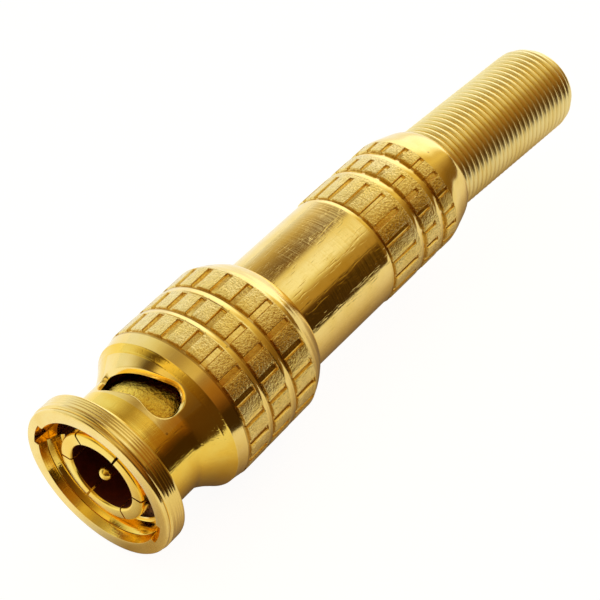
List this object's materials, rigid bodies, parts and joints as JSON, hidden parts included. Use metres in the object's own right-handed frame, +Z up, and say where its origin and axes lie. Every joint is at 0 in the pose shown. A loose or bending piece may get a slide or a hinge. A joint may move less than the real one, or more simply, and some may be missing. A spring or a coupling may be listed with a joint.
{
  "type": "bnc cable plug",
  "caption": "Gold-plated bayonet-lock coaxial cable plug with slotted grip bands, screw-on tail sleeve and close-wound spring strain relief.",
  "frame": {"origin": "centre of the coupling nut's mating face, on the plug's axis", "axes": "+X along the plug's axis from the mating face to the cable end, so that a jack comes from -X and the cable leaves along +X; +Z up; the plug lies on its side"},
  "size_m": [0.0624, 0.0146, 0.0146],
  "materials": {
    "gold_cast": "gold-plated, die-cast grain on the grip bands and turned rings between them",
    "gold_turned": "gold-plated, turned and polished",
    "gold_wire": "gold-plated drawn wire",
    "insulator": "moulded",
    "gasket": "soft moulded rubber",
    "spring_steel": "bright spring steel",
    "clear_plastic": "milky clear tube"
  },
  "bodies": {
    "body": {"plug_body": "gold_turned", "outer_contact": "gold_turned", "front_insulator": "insulator", "centre_pin": "gold_turned", "gasket": "gasket", "wave_washer": "spring_steel", "cable_clamp": "gold_turned", "insulating_sleeve": "clear_plastic"},
    "nut_washer": {"thrust_washer": "spring_steel"},
    "nut": {"coupling_nut": "gold_cast", "retaining_ring": "spring_steel"},
    "tail_spring": {"strain_relief_spring": "gold_wire"},
    "tail": {"tail_sleeve": "gold_turned"}
  },
  "joints": [
    {"name": "nut_slide", "type": "slide", "parent": "body", "child": "nut_washer", "axis": [-1, 0, 0], "range_m": [0, 0.0006], "stiffness_N_per_m": 4000, "springref_m": -0.0002, "deforming": ["wave_washer"]},
    {"name": "nut_turn", "type": "hinge", "parent": "nut_washer", "child": "nut", "pos_m": [0, 0, 0], "axis": [1, 0, 0], "continuous": true},
    {"name": "tail_travel", "type": "slide", "parent": "body", "child": "tail_spring", "axis": [1, 0, 0], "range_m": [0, 0.0061]},
    {"name": "tail_turn", "type": "hinge", "parent": "tail_spring", "child": "tail", "pos_m": [0, 0, 0], "axis": [1, 0, 0], "range_deg": [0, 2880]}
  ],
  "couplings": [
    {"joint": "tail_travel", "follows": "tail_turn", "m_per_rad": 0.00011937}
  ]
}
